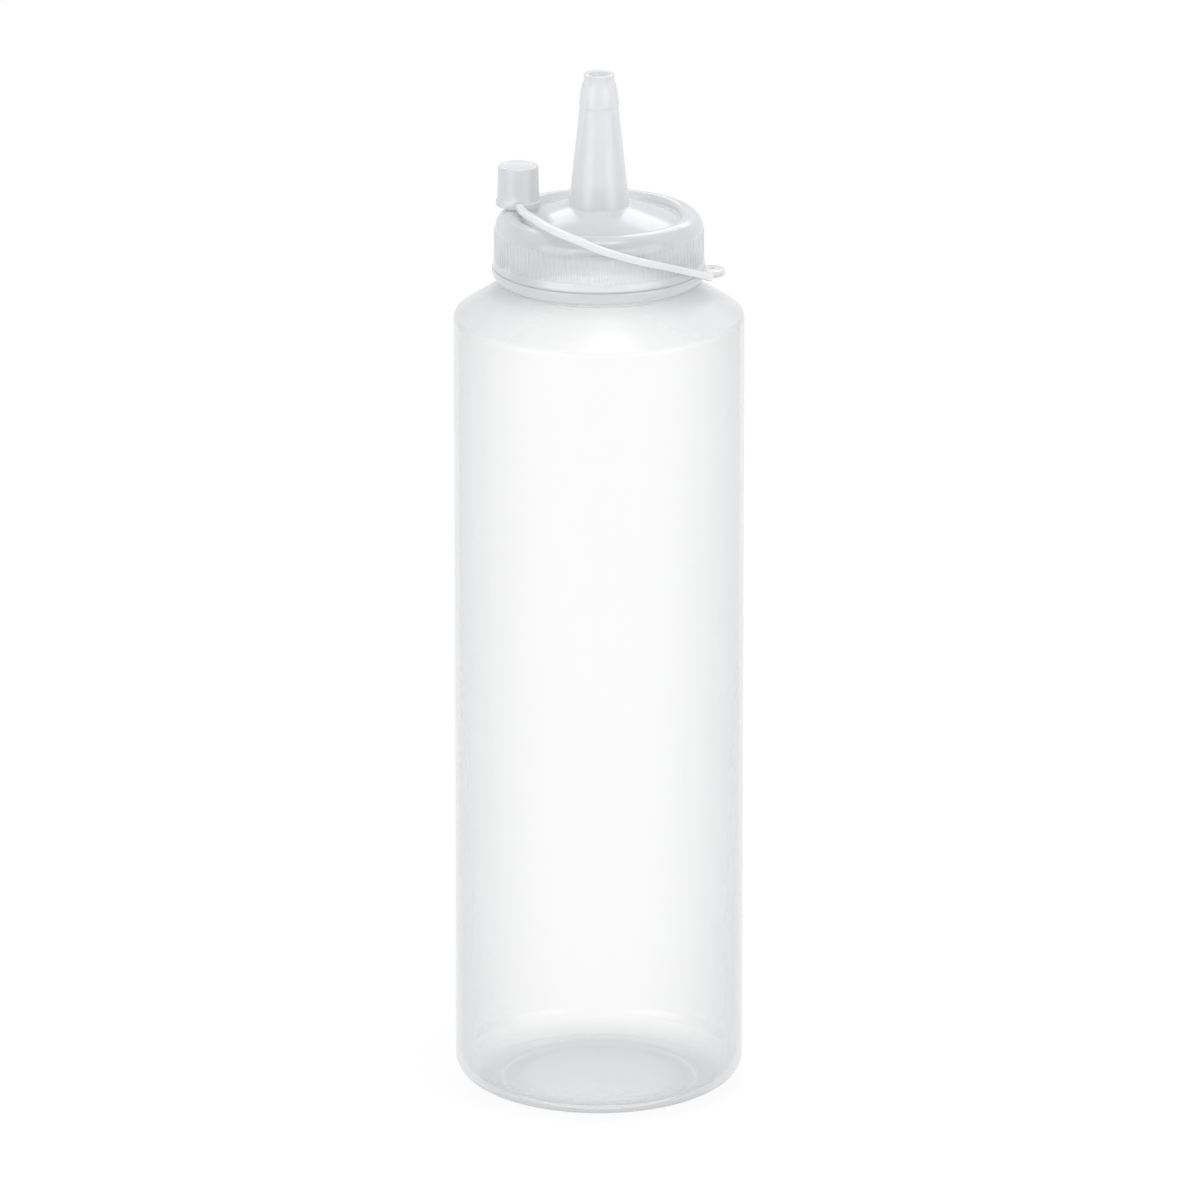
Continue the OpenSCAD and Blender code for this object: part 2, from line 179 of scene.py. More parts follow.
class Plan:
    def __init__(self):
        b, c, t = (getattr(bpy.context.scene, n) for n in ("bottle_sizes", "cap_sizes", "tether_sizes"))
        slope = b.shoulder_slope
        self.slope = slope
        self.shoulder_z = b.body_h + b.shoulder_r * math.cos(slope)
        self.shoulder_x = b.body_r - b.shoulder_r + b.shoulder_r * math.sin(slope)
        self.bore_r = b.neck_r + b.thread_depth + THREAD_GAP
        self.skirt_r = self.bore_r + c.skirt_wall
        self.collar_r = self.bore_r + c.collar_wall
        self.collar_z = self.shoulder_at(self.collar_r) + SHOULDER_GAP
        self.skirt_z = self.collar_z + COLLAR_H + t.ring_h
        self.crest_z = self.skirt_z + c.cap_h
        self.cap_under = self.crest_z - c.rim_rise
        self.neck_top = self.cap_under - 0.15 * MM
        self.rim_x = self.skirt_r - c.rim_r
        self.dish_x = self.rim_x - c.rim_in_r
        self.dish_z = self.crest_z - c.dish_depth
        self.nozzle_z = self.dish_z + c.dome_rise
        self.tip_z = self.nozzle_z + c.nozzle_h
        self.lip_z = self.tip_z - TIP_LIP_H
        self.bead_z = self.lip_z - FLARE_H
        self.lip_r = c.outlet_r + 1 * MM
        self.flare_r = self.lip_r + 0.33 * MM
        self.bead_r = c.nozzle_neck_r + 0.08 * MM
        self.seal_r = b.neck_r - b.neck_wall - 0.1 * MM
        self.neck_thread_z = self.neck_top - 1.45 * MM - b.pitch * b.thread_turns
        self.ring_in_r = self.collar_r + 0.1 * MM
        self.ring_r = self.ring_in_r + t.ring_wall
        self.ring_z = self.collar_z + 0.7 * MM
        self.ring_top = self.ring_z + t.ring_h
        self.ear_z = self.ring_z + 0.45 * MM
        self.ear_mid_z = self.ear_z + t.ear_t / 2
        self.ear_end_x = self.ring_r + t.ear_l - t.ear_w / 2
        self.park_z = self.crest_z + RIM_PARK_GAP
        self.park_x = (self.rim_x - t.park_in) * math.cos(t.park_turn)
        self.park_y = (self.rim_x - t.park_in) * math.sin(t.park_turn)
        self.strap_mid_z = self.park_z + t.strap_t / 2
        self.tip_bore_r = self.lip_r + 0.12 * MM
        self.tip_mouth_r = self.flare_r + 0.32 * MM
        self.tip_top_r = self.tip_bore_r + t.tip_wall
        self.tip_foot_r = self.tip_mouth_r + 0.48 * MM
        self.tip_flange_r = self.tip_foot_r + 0.29 * MM
        self.bottle, self.cap, self.tether = b, c, t

    def shoulder_at(self, r):
        """Height of the shoulder's outer face at a radius"""
        return self.shoulder_z + (self.shoulder_x - r) * math.tan(self.slope)


# Lines and meshes

def arc(cx, cz, rx, rz, start, end, steps):
    turns = np.radians(np.linspace(start, end, steps + 1))
    return [(cx + rx * math.cos(a), cz + rz * math.sin(a)) for a in turns]


def soften(corners, steps=4):
    """A line whose corners (radius, height, rounding) are turned into small arcs"""
    out = []
    for i, corner in enumerate(corners):
        if len(corner) < 3 or i in (0, len(corners) - 1):
            out.append(tuple(corner[:2]))
            continue
        here = np.array(corner[:2])
        back = np.array(corners[i - 1][:2]) - here
        on = np.array(corners[i + 1][:2]) - here
        reach = min(corner[2], 0.49 * np.linalg.norm(back), 0.49 * np.linalg.norm(on))
        a = here + back / np.linalg.norm(back) * reach
        b = here + on / np.linalg.norm(on) * reach
        for t in np.linspace(0, 1, steps + 1):
            out.append(tuple((1 - t) ** 2 * a + 2 * t * (1 - t) * here + t * t * b))
    return out


def filled(line, start, end, step):
    """The line with points added between two of its places, for shapes pressed into it"""
    out = []
    for a, b in zip(line, line[1:]):
        out.append(a)
        inside = min(a[1], b[1]) >= start - 1e-6 and max(a[1], b[1]) <= end + 1e-6
        n = int(abs(b[1] - a[1]) / step) if inside else 0
        out += [tuple(np.array(a) + (np.array(b) - np.array(a)) * k / (n + 1)) for k in range(1, n + 1)]
    return out + [line[-1]]


def mesh_from(name, points, faces):
    mesh = bpy.data.meshes.new(name)
    mesh.from_pydata([tuple(p) for p in points], [], faces)
    work = bmesh.new()
    work.from_mesh(mesh)
    bmesh.ops.remove_doubles(work, verts=work.verts, dist=1e-7)
    bmesh.ops.recalc_face_normals(work, faces=work.faces)
    work.to_mesh(mesh)
    work.free()
    return mesh


def smooth(mesh, angle=32):
    mesh.shade_smooth()
    mesh.set_sharp_from_angle(angle=math.radians(angle))
    return mesh


def place(name, mesh):
    piece = bpy.data.objects.new(name, mesh)
    bpy.context.scene.collection.objects.link(piece)
    return piece


def revolved(name, line, columns, closed=False):
    """A skin turned round the axis; a line that ends on the axis closes to a point there"""
    turns = np.arange(columns) * 2 * math.pi / columns
    points, rows = [], []
    for r, z in line:
        if r < 1e-7:
            rows.append([len(points)] * columns)
            points.append((0, 0, z))
        else:
            rows.append(range(len(points), len(points) + columns))
            points += [(r * math.cos(a), r * math.sin(a), z) for a in turns]
    pairs = list(zip(rows, rows[1:])) + ([(rows[-1], rows[0])] if closed else [])
    faces = []
    for low, high in pairs:
        for i in range(columns):
            j = (i + 1) % columns
            face = tuple(dict.fromkeys((low[i], low[j], high[j], high[i])))
            if len(face) > 2:
                faces.append(face)
    return mesh_from(name, points, faces)


def press_thread(mesh, wall_r, low, high, first_z, start, depth, plan):
    """Pushes the points of one wall out into a helical ridge, or in for a negative depth"""
    b = plan.bottle
    co = np.empty(len(mesh.vertices) * 3)
    mesh.vertices.foreach_get("co", co)
    co = co.reshape(-1, 3)
    r = np.hypot(co[:, 0], co[:, 1])
    on_wall = (abs(r - wall_r) < 1e-5) & (co[:, 2] > low) & (co[:, 2] < high)
    angle = (np.arctan2(co[:, 1], co[:, 0]) - start) % (2 * math.pi)
    push = np.zeros(len(co))
    for lap in range(3):
        along = (angle / (2 * math.pi) + lap)
        away = abs(co[:, 2] - first_z - b.pitch * along) / MM
        ridge = np.clip((1.05 - away) / 0.55, 0, 1)
        ridge = ridge * ridge * (3 - 2 * ridge)
        ends = np.clip(np.minimum(along, b.thread_turns - along) * 8 + 0.15, 0, 1)
        push = np.maximum(push, ridge * ends * (along <= b.thread_turns + 0.02))
    scale = 1 + np.where(on_wall, push * depth, 0) / np.maximum(r, 1e-6)
    co[:, 0] *= scale
    co[:, 1] *= scale
    mesh.vertices.foreach_set("co", co.ravel())
    mesh.update()


# Shader maths as plain expressions

class Term:
    """An output in a shader tree; sums, products and powers of it add Math nodes"""

    def __init__(self, paint, socket):
        self.paint, self.socket = paint, socket

    def maths(self, kind, a, b):
        return self.paint.node("ShaderNodeMath", {"operation": kind}, a, b)

    def __add__(self, other):
        return self.maths("ADD", self, other)

    def __sub__(self, other):
        return self.maths("SUBTRACT", self, other)

    def __rsub__(self, other):
        return self.maths("SUBTRACT", other, self)

    def __mul__(self, other):
        return self.maths("MULTIPLY", self, other)

    def __pow__(self, other):
        return self.maths("POWER", self, other)

    def __rpow__(self, other):
        return self.maths("POWER", other, self)

    __radd__, __rmul__ = __add__, __mul__


class Paint:
    """One material's tree"""

    def __init__(self, name):
        self.material = bpy.data.materials.new(name)
        self.material.use_nodes = True
        self.tree = self.material.node_tree
        self.tree.nodes.clear()

    def node(self, kind, settings=None, *values, output=0, **named):
        made = self.tree.nodes.new(kind)
        for key, value in (settings or {}).items():
            setattr(made, key, value)
        for where, value in list(enumerate(values)) + list(named.items()):
            socket = made.inputs[where if isinstance(where, int) else where.replace("_", " ")]
            if isinstance(value, Term):
                self.tree.links.new(value.socket, socket)
            elif value is not None:
                socket.default_value = value
        return Term(self, made.outputs[output])

    def finish(self, surface):
        out = self.tree.nodes.new("ShaderNodeOutputMaterial")
        self.tree.links.new(surface.socket, out.inputs["Surface"])
        return self.material


def milky_plastic(name, colour, clear, edge, falloff, gloss, grain, waves, varied=False):
    """Translucent polyethylene under a gloss of its own

    It hides more of what is behind it at a slant and, if varied, where the mesh says that it is thick.
    """
    p = Paint(name)
    where = p.node("ShaderNodeTexCoord", output=3)
    facing = p.node("ShaderNodeLayerWeight", None, 0.5, output=1)
    cloudy = p.node("ShaderNodeTexNoise", None, where, Scale=CLOUDS, Detail=3, Roughness=0.6)
    depth = (clear + edge * facing ** falloff) * (0.9 + 0.2 * cloudy)
    if varied:
        depth = depth * p.node("ShaderNodeAttribute", {"attribute_name": "thick"}, output=2)
    alpha = 1 - 2.718 ** (-1 * depth)
    fine = p.node("ShaderNodeTexNoise", None, where, Scale=PLASTIC_GRAIN, Detail=2, Roughness=0.5)
    broad = p.node("ShaderNodeTexNoise", None, where, Scale=PLASTIC_WAVES, Detail=1, Roughness=0.4)
    bump = p.node("ShaderNodeBump", None, Strength=1, Distance=MM, Height=fine * grain + broad * waves)
    cloud = p.node(
        "ShaderNodeBsdfPrincipled", None, Base_Color=(*colour, 1), Roughness=0.6, IOR=IOR,
        Specular_IOR_Level=0, Alpha=alpha, Normal=bump)
    skin = p.node(
        "ShaderNodeBsdfAnisotropic", None, Color=(1, 1, 1, 1), Roughness=gloss + 0.06 * cloudy, Normal=bump)
    straight, slanted, late = GLASSY
    mirror = straight + slanted * facing ** late
    if varied:
        mirror = mirror * p.node("ShaderNodeAttribute", {"attribute_name": "outer"}, output=2)
    return p.finish(p.node("ShaderNodeMixShader", None, mirror, cloud, skin))


def set_skin(mesh, thick, outer):
    """Per point, how cloudy the plastic is there, and 1 where it is an outside face"""
    for name, values in (("thick", thick), ("outer", outer)):
        mesh.attributes.new(name, "FLOAT", "POINT").data.foreach_set("value", np.array(values, np.float32))


def finished(piece, material):
    piece.data.materials.clear()
    piece.data.materials.append(material)
    return piece


# Pieces

class BOTTLE_OT_shell(bpy.types.Operator):
    """Blown bottle: base, wall, shoulder and threaded neck"""
    bl_idname = "bottle.shell"
    bl_label = "Bottle"

    def execute(self, context):
        p = Plan()
        b = p.bottle
        stand_r = b.body_r - b.heel_w
        slope_cos = math.cos(p.slope)

        def half(wall, bottom, neck_r, top):
            heel = arc(stand_r, bottom + b.heel_h, b.heel_w - wall, b.heel_h, -90, 0, 18)
            corner = arc(b.body_r - b.shoulder_r, b.body_h, b.shoulder_r - wall, b.shoulder_r - wall,
                         0, 90 - math.degrees(p.slope), 8)
            foot = (neck_r, p.shoulder_at(neck_r) - wall / slope_cos)
            floor = [(0, bottom + b.push_up), (stand_r * 0.55, bottom + b.push_up * 0.62)]
            floor += [(stand_r - b.stand_w - 1.2 * MM, bottom + 0.28 * MM), (stand_r - b.stand_w, bottom)]
            run = soften([(x, z, 3 * MM) for x, z in floor] + [heel[0]], 5)
            run += heel[1:] + corner
            slope_top, slope_end = np.array(corner[-1]), np.array(foot)
            aim = slope_top + (slope_end - slope_top) * 0.9
            run += soften([tuple(aim), (*foot, 0.9 * MM), (neck_r, top)], 6)
            return run

        outer = half(0, 0, b.neck_r, p.neck_top - 0.4 * MM)
        inner = half(b.wall, b.floor_t, b.neck_r - b.neck_wall, p.neck_top - 0.3 * MM)
        outer = filled(outer, p.shoulder_at(b.neck_r), p.neck_top, 0.22 * MM)
        lip = [(b.neck_r - 0.12 * MM, p.neck_top - 0.1 * MM), (b.neck_r - 0.4 * MM, p.neck_top)]
        neck_in_r = b.neck_r - b.neck_wall
        lip += [(neck_in_r + 0.3 * MM, p.neck_top), (neck_in_r + 0.08 * MM, p.neck_top - 0.08 * MM)]
        mesh = revolved("bottle_shell", outer + lip + inner[::-1], b.columns)
        press_thread(mesh, b.neck_r, p.shoulder_at(b.neck_r) + 0.5 * MM, p.neck_top - 0.2 * MM,
                     p.neck_thread_z, 0, b.thread_depth, p)
        co = np.empty(len(mesh.vertices) * 3)
        mesh.vertices.foreach_get("co", co)
        co = co.reshape(-1, 3)
        r, z = np.hypot(co[:, 0], co[:, 1]), co[:, 2]
        thick = 1 + 1.7 * np.clip((b.heel_h + 0.4 * MM - z) / (0.8 * MM), 0, 1)
        thick += 3.2 * np.clip((z - b.body_h - 0.6 * MM) / (1.2 * MM), 0, 1)
        skin = np.where(z > b.body_h, p.shoulder_at(r) - b.wall * 0.6 < z, r > b.body_r - b.wall * 0.6)
        skin |= (z < b.floor_t * 0.4) | ((r > b.neck_r - 0.3 * MM) & (z > p.shoulder_at(b.neck_r)))
        set_skin(mesh, thick * np.where(skin, 1, 0.6), skin)
        piece = place("bottle_shell", smooth(mesh))
        colour = context.scene.plastic_colours.bottle
        plastic = milky_plastic("blown_plastic", colour, 0.015, 0.62, 1.6, 0.22, 0.001, 0.012, varied=True)
        finished(piece, plastic)
        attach(piece, "bottle")
        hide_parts("bottle")
        return {"FINISHED"}


def slice_round(name, piece, step_count, material):
    """Repeats a slice round the axis and welds the copies into one skin"""
    tree = bpy.data.node_groups.new(name, "GeometryNodeTree")
    face = tree.interface
    face.new_socket("Slice", in_out="INPUT", socket_type="NodeSocketGeometry")
    number = face.new_socket("Slices", in_out="INPUT", socket_type="NodeSocketInt")
    weld = face.new_socket("Weld distance", in_out="INPUT", socket_type="NodeSocketFloat")
    paint = face.new_socket("Material", in_out="INPUT", socket_type="NodeSocketMaterial")
    face.new_socket("Skin", in_out="OUTPUT", socket_type="NodeSocketGeometry")

    def add(kind, **links):
        made = tree.nodes.new(kind)
        for key, value in links.items():
            socket = made.inputs[key.replace("_", " ")]
            if isinstance(value, bpy.types.NodeSocket):
                tree.links.new(value, socket)
            else:
                socket.default_value = value
        return made

    start = tree.nodes.new("NodeGroupInput").outputs
    points = add("GeometryNodePoints", Count=start["Slices"])
    step = tree.nodes.new("ShaderNodeMath")
    step.operation = "DIVIDE"
    step.inputs[0].default_value = 2 * math.pi
    tree.links.new(start["Slices"], step.inputs[1])
    angle = tree.nodes.new("ShaderNodeMath")
    angle.operation = "MULTIPLY"
    tree.links.new(tree.nodes.new("GeometryNodeInputIndex").outputs[0], angle.inputs[0])
    tree.links.new(step.outputs[0], angle.inputs[1])
    spin = add("ShaderNodeCombineXYZ", Z=angle.outputs[0])
    copies = add("GeometryNodeInstanceOnPoints", Points=points.outputs[0], Instance=start["Slice"],
                 Rotation=spin.outputs[0])
    real = add("GeometryNodeRealizeInstances", Geometry=copies.outputs[0])
    welded = add("GeometryNodeMergeByDistance", Geometry=real.outputs[0], Distance=start["Weld distance"])
    painted = add("GeometryNodeSetMaterial", Geometry=welded.outputs[0], Material=start["Material"])
    end = tree.nodes.new("NodeGroupOutput")
    tree.links.new(painted.outputs[0], end.inputs[0])

    modifier = piece.modifiers.new(name, "NODES")
    modifier.node_group = tree
    modifier[number.identifier] = step_count
    modifier[weld.identifier] = 0.004 * MM
    modifier[paint.identifier] = material
    bpy.context.view_layer.update()
    whole = piece.evaluated_get(bpy.context.evaluated_depsgraph_get())
    mesh = bpy.data.meshes.new_from_object(whole)
    piece.modifiers.remove(modifier)
    old = piece.data
    piece.data = mesh
    bpy.data.meshes.remove(old)
    work = bmesh.new()
    work.from_mesh(mesh)
    bmesh.ops.recalc_face_normals(work, faces=work.faces)
    work.to_mesh(mesh)
    work.free()
    return piece


class BOTTLE_OT_screw_cap(bpy.types.Operator):
    """Screw cap: ribbed skirt, rim, dished top and nozzle"""
    bl_idname = "bottle.screw_cap"
    bl_label = "Screw cap"

    def execute(self, context):
        p = Plan()
        b, c = p.bottle, p.cap
        u = MM

        def dome(drop, x_out, x_in, steps):
            out = []
            for x in np.linspace(x_out, x_in, steps + 1):
                s = (p.dish_x - x) / (p.dish_x - c.nozzle_foot_r)
                out.append((x, p.dish_z - drop + c.dome_rise * (1.25 * s - 0.25 * s * s)))
            return out

        rib_low = p.skirt_z + c.band_h + c.rib_h
        rib_high = p.crest_z - c.rim_r
        tip = soften([
            (c.outlet_r, p.tip_z - 1 * u), (c.outlet_r, p.tip_z, 0.2 * u), (p.lip_r, p.tip_z, 0.35 * u),
            (p.lip_r, p.lip_z + 0.6 * u, 0.25 * u), (p.flare_r, p.lip_z, 0.2 * u),
            ((p.bead_r + p.flare_r) / 2 + 0.1 * u, p.bead_z + 2.2 * u, 1.2 * u), (p.bead_r, p.bead_z, 0.25 * u),
            (p.bead_r, p.bead_z - 0.25 * u, 0.1 * u), (c.nozzle_neck_r, p.bead_z - 0.5 * u, 0.2 * u),
            (c.nozzle_foot_r - 0.02 * u, p.nozzle_z + 0.8 * u)], 4)
        over = dome(0, c.nozzle_foot_r + 0.8 * u, p.dish_x - 0.35 * u, 10)
        foot = soften([tip[-1], (c.nozzle_foot_r, p.nozzle_z - 0.02 * u, 0.9 * u), over[0]], 5)[1:-1]
        rim = arc(p.rim_x, p.crest_z - c.rim_in_r, c.rim_in_r, c.rim_in_r, 176, 96, 7)
        rim += arc(p.rim_x, p.crest_z - c.rim_r, c.rim_r, c.rim_r, 90, 6, 12)
        ribs = [(p.skirt_r, z) for z in (rib_high, rib_high - 0.15 * u, rib_low + 0.1 * u, rib_low)]
        hem = soften([
            (p.skirt_r + c.rib_h, p.skirt_z + c.band_h), (p.skirt_r + c.band_flare, p.skirt_z, 0.22 * u),
            (p.collar_r, p.skirt_z, 0.1 * u), (p.collar_r, p.collar_z + 0.6 * u, 0.05 * u),
            (p.collar_r + 0.3 * u, p.collar_z + 0.5 * u, 0.1 * u),
            (p.collar_r + 0.3 * u, p.collar_z + 0.15 * u, 0.1 * u),
            (p.collar_r, p.collar_z, 0.1 * u), (p.bore_r, p.collar_z, 0.15 * u),
            (p.bore_r, p.collar_z + 1 * u)], 3)
        wall_top = p.cap_under + 1.6 * u
        wall = filled([(p.bore_r, p.collar_z + 1 * u), (p.bore_r, wall_top - 0.6 * u)], p.collar_z, wall_top, 0.24 * u)
        under = soften([
            (p.bore_r, wall_top - 0.6 * u), (p.bore_r, wall_top, 0.3 * u), (b.neck_r + 0.2 * u, wall_top, 0.2 * u),
            (b.neck_r + 0.2 * u, p.cap_under, 0.15 * u), (p.seal_r, p.cap_under, 0.15 * u),
            (p.seal_r, p.cap_under - 1.1 * u, 0.1 * u), (p.seal_r - 0.25 * u, p.cap_under - 1.7 * u, 0.1 * u),
            (p.seal_r - 0.6 * u, p.cap_under - 1.7 * u, 0.1 * u), (p.seal_r - 0.6 * u, p.cap_under, 0.15 * u),
            (p.dish_x - 0.9 * u, p.cap_under + 0.02 * u)], 3)
        below = dome(c.top_t, p.dish_x - 0.9 * u, c.nozzle_foot_r - 0.2 * u, 10)
        inside = soften([below[-2], (*below[-1], 0.6 * u), (c.outlet_r, p.tip_z - c.outlet_l, 0.5 * u),
                         (c.outlet_r, p.tip_z - 1 * u)], 4)[1:-1]
        line = tip[:-1] + foot + over + rim + ribs + hem + wall[1:-1] + under + below[1:-1] + inside

        step = 2 * math.pi / c.rib_count
        columns = [(0.14, -0.03), (0.32, 1), (0.68, 1), (0.86, -0.03), (1.14, -0.03)]
        ribbed = {len(tip[:-1] + foot + over + rim) + k for k in (1, 2)}
        points, faces = [], []
        for f, lift in columns:
            for k, (r, z) in enumerate(line):
                r += lift * c.rib_h if k in ribbed else 0
                points.append((r * math.cos(f * step), r * math.sin(f * step), z))
        n = len(line)
        for j in range(len(columns) - 1):
            for k in range(n):
                m = (k + 1) % n
                faces.append((j * n + k, j * n + m, (j + 1) * n + m, (j + 1) * n + k))
        mesh = bpy.data.meshes.new("screw_cap_shell")
        mesh.from_pydata(points, [], faces)
        outside = len(tip[:-1] + foot + over + rim + ribs) + 8
        thick = [1] * outside + [0.4] * (n - outside)
        outer = [1] * outside + [0] * (n - outside)
        set_skin(mesh, thick * len(columns), outer * len(columns))
        piece = place("screw_cap_shell", mesh)
        colour = context.scene.plastic_colours.cap
        plastic = milky_plastic("moulded_plastic", colour, 0.6, 0.9, 1.5, 0.12, 0.0015, 0.01, varied=True)
        slice_round("ribbed_cap", piece, c.rib_count, plastic)
        press_thread(piece.data, p.bore_r, p.collar_z + 0.9 * u, wall_top - 0.5 * u,
                     p.neck_thread_z - b.pitch / 2, math.radians(40), -(b.thread_depth - 0.05 * u), p)
        smooth(piece.data)
        finished(piece, plastic)
        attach(piece, "screw_cap")
        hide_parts("screw_cap")
        return {"FINISHED"}


class BOTTLE_OT_tether_ring(bpy.types.Operator):
    """Tether ring with its flat ear"""
    bl_idname = "bottle.tether_ring"
    bl_label = "Tether ring"

    def execute(self, context):
        p = Plan()
        t, u = p.tether, MM
        line = soften([
            (p.ring_in_r, p.ring_z + 1 * u), (p.ring_in_r, p.ring_z, 0.1 * u),
            (p.ring_r - 0.95 * u, p.ring_z, 0.15 * u),
            (p.ring_r - 0.4 * u, p.ring_z + t.ring_h * 0.22, 0.4 * u),
            (p.ring_r - 0.05 * u, p.ring_z + t.ring_h * 0.46, 0.4 * u), (p.ring_r, p.ring_z + t.ring_h * 0.7, 0.4 * u),
            (p.ring_r - 0.08 * u, p.ring_top, 0.15 * u), (p.ring_in_r, p.ring_top, 0.1 * u),
            (p.ring_in_r, p.ring_top - 0.5 * u)], 4)
        ring = place("tether_ring_piece", revolved("tether_ring_piece", line, 160, closed=True))
        ear = place("ear_blank", ear_mesh(p))
        join = ring.modifiers.new("ear", "BOOLEAN")
        join.operation, join.solver, join.object = "UNION", "EXACT", ear
        bpy.context.view_layer.update()
        mesh = bpy.data.meshes.new_from_object(ring.evaluated_get(context.evaluated_depsgraph_get()))
        ring.modifiers.remove(join)
        ring.data = mesh
        bpy.data.objects.remove(ear)
        smooth(ring.data, 28)
        plastic = shared_plastic("ring_plastic", context.scene.plastic_colours.tip, 0.5)
        finished(ring, plastic)
        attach(ring, "tether")
        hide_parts("tether_ring")
        return {"FINISHED"}


def ear_mesh(p):
    """Flat ear with a rounded end, eased edges and a small hole"""
    t, u = p.tether, MM
    r = t.ear_w / 2
    edge = [(p.ring_r - 0.6 * u, -r)] + [
        (p.ear_end_x + r * math.cos(a), r * math.sin(a)) for a in np.linspace(-math.pi / 2, math.pi / 2, 29)]
    edge += [(p.ring_r - 0.6 * u, r)]
    hole_x = p.ring_r + 0.35 * u + t.ear_hole_r
    turns = np.arange(24) * 2 * math.pi / 24
    rounding = 0.22 * u
    levels = [(rounding, p.ear_z), (rounding * 0.3, p.ear_z + rounding * 0.3), (0, p.ear_z + rounding)]
    levels += [(0, p.ear_z + t.ear_t - rounding), (rounding * 0.3, p.ear_z + t.ear_t - rounding * 0.3),
               (rounding, p.ear_z + t.ear_t)]
    work = bmesh.new()
    centre = np.array((p.ear_end_x - 0.5 * u, 0))

    def eased(x, y, ease):
        away = np.array((x, y)) - centre
        if x < p.ring_r:
            return x, y - math.copysign(ease, y)
        return tuple(np.array((x, y)) - away / np.linalg.norm(away) * ease)

    outer = [[work.verts.new((*eased(x, y, e), z)) for x, y in edge] for e, z in levels]
    inner = [[work.verts.new((hole_x + (t.ear_hole_r + e * 0.6) * math.cos(a),
                              0.6 * u + (t.ear_hole_r + e * 0.6) * math.sin(a), z)) for a in turns]
             for e, z in levels]
    for loops in (outer, inner):
        for low, high in zip(loops, loops[1:]):
            for i in range(len(low)):
                j = (i + 1) % len(low)
                work.faces.new((low[i], low[j], high[j], high[i]))
    for level in (0, -1):
        edges = []
        for loop in (outer[level], inner[level]):
            for i in range(len(loop)):
                edges.append(work.edges.get((loop[i], loop[(i + 1) % len(loop)])))
        bmesh.ops.triangle_fill(work, edges=edges, use_beauty=True)
    bmesh.ops.recalc_face_normals(work, faces=work.faces)
    mesh = bpy.data.meshes.new("ear_blank")
    work.to_mesh(mesh)
    work.free()
    return mesh


def shared_plastic(name, colour, clear):
    """The tether's plastic, made once under each name"""
    if name in bpy.data.materials:
        return bpy.data.materials[name]
    return milky_plastic(name, colour, clear, 1.4, 1.3, 0.18, 0.0015, 0.01)


def strap_route(p):
    """The places that the strap's middle passes, from the ear to the tip cap"""
    t, u = p.tether, MM
    bends = [
        (-12.6, 0.53, 0.012), (-21.2, 0.55, 0.108), (-32.4, 0.48, 0.231), (-44.4, 0.44, 0.362),
        (-56.6, 0.61, 0.492), (-69.1, 0.83, 0.615), (-79.7, 0.91, 0.723), (-89.5, 0.75, 0.823),
        (-99.5, 0.15, 0.931), (-110.2, -1.3, 0.988), (-122.2, -3.35, 1.008), (-137.5, -5.41, 1.012),
        (-155.5, -6.38, 1.008), (-168.6, -6.35, 1),
    ]
    near_r = p.skirt_r + t.strap_w / 2 + 0.4 * u
    climb = p.strap_mid_z - p.ear_mid_z
    route = [(p.ring_r + 0.62 * u, -t.ear_w / 2 - 0.1 * u, p.ear_mid_z)]
    for angle, out, rise in bends:
        a = math.radians(angle)
        r = near_r + out * u
        route.append((r * math.cos(a), r * math.sin(a), p.ear_mid_z + climb * rise))
    route.append((p.park_x + 0.3 * u, p.park_y - p.tip_flange_r - 0.1 * u, p.strap_mid_z))
    return np.array(route)


def route_point(route, s):
    last = len(route) - 1
    i = min(int(math.floor(s)), last - 1)
    i = max(i, 0)
    a, b, c, d = (route[k] for k in (max(i - 1, 0), i, i + 1, min(i + 2, last)))
    t = s - i
    return 0.5 * (2 * b + (c - a) * t + (2 * a - 5 * b + 4 * c - d) * t ** 2 + (3 * b - a - 3 * c + d) * t ** 3)


